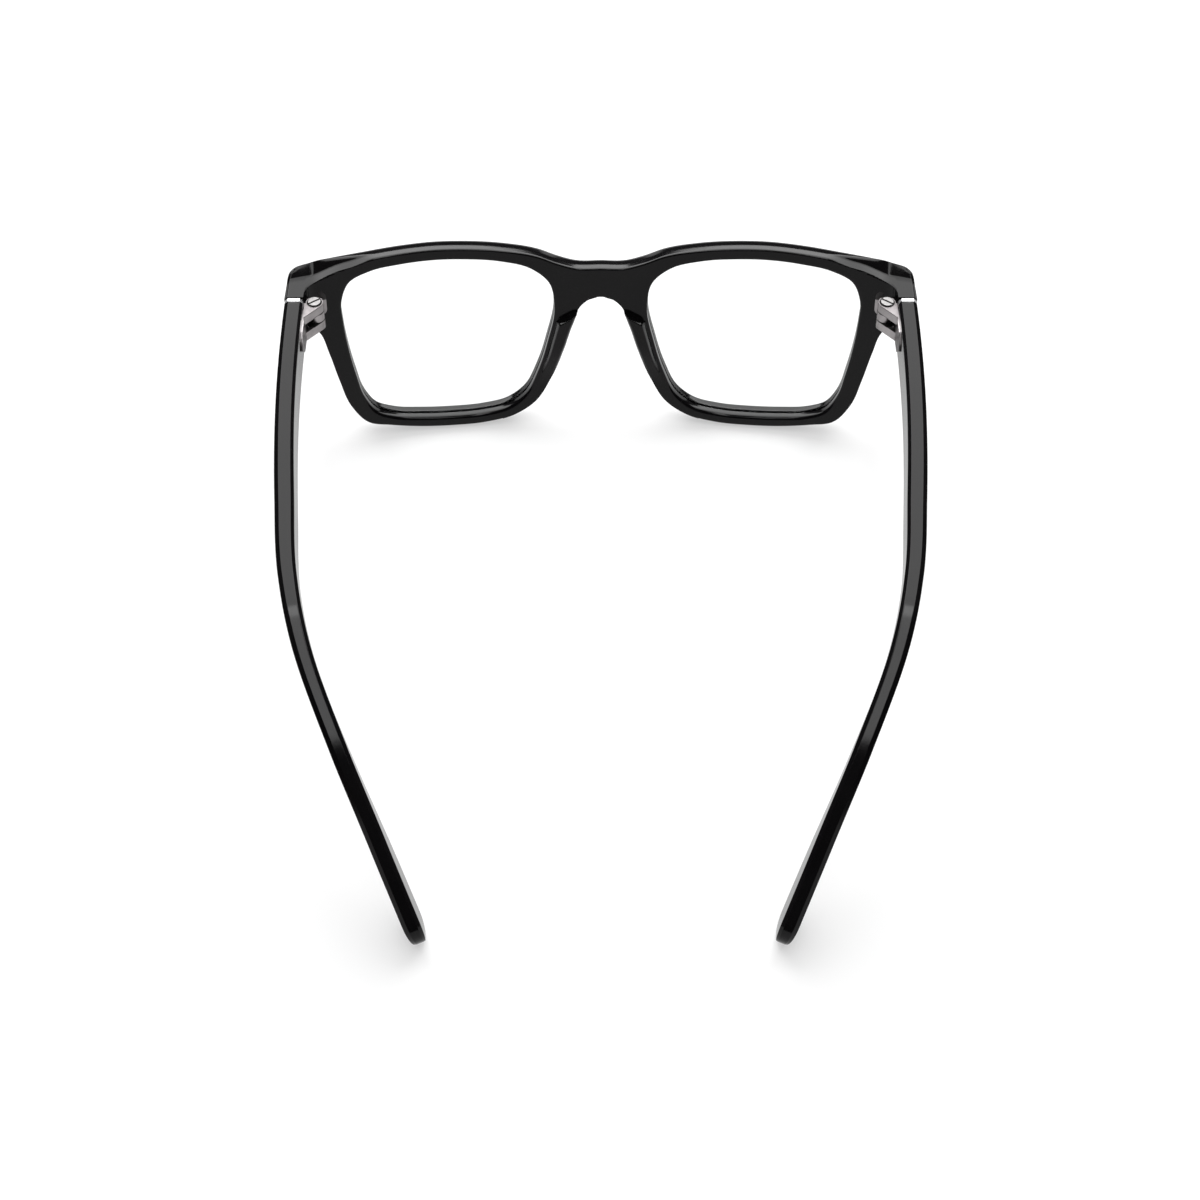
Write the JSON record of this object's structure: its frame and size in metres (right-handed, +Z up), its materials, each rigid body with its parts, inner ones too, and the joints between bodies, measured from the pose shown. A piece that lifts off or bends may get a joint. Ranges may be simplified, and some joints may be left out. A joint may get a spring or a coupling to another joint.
{
  "type": "eyeglasses",
  "caption": "Rectangular acetate eyeglasses with clear lenses and two temples that fold on metal pin hinges, standing open on a table.",
  "frame": {"origin": "on the table, under the middle of the whole object with its temples open", "axes": "+Z up, -Y where the front faces, +Y along the temples, +X the wearer's left"},
  "size_m": [0.137, 0.1546, 0.045],
  "materials": {
    "front_acetate": "polished black acetate",
    "temple_acetate": "polished black acetate",
    "lens": "clear, coated",
    "hinge_metal": "polished nickel silver",
    "end_plate": "polished",
    "rivet": "polished flush",
    "screw": "polished, slotted",
    "core_wire": "drawn wire"
  },
  "bodies": {
    "front": {"front_frame": "front_acetate", "left_lens": "lens", "right_lens": "lens", "left_nose_pad": "front_acetate", "right_nose_pad": "front_acetate", "left_front_hinge": "hinge_metal", "right_front_hinge": "hinge_metal", "left_front_rivets": "rivet", "right_front_rivets": "rivet"},
    "left_temple": {"left_temple": "temple_acetate", "left_end_plate": "end_plate", "left_temple_hinge": "hinge_metal", "left_temple_rivets": "rivet", "left_hinge_screw": "screw", "left_core_wire": "core_wire"},
    "right_temple": {"right_temple": "temple_acetate", "right_end_plate": "end_plate", "right_temple_hinge": "hinge_metal", "right_temple_rivets": "rivet", "right_hinge_screw": "screw", "right_core_wire": "core_wire"}
  },
  "joints": [
    {"name": "left_temple_fold", "type": "hinge", "parent": "front", "child": "left_temple", "pos_m": [0.0621, -0.06121, 0.0355], "axis": [0, 0, 1], "range_deg": [0, 78]},
    {"name": "right_temple_fold", "type": "hinge", "parent": "front", "child": "right_temple", "pos_m": [-0.0621, -0.06121, 0.0355], "axis": [0, 0, -1], "range_deg": [0, 57]}
  ]
}
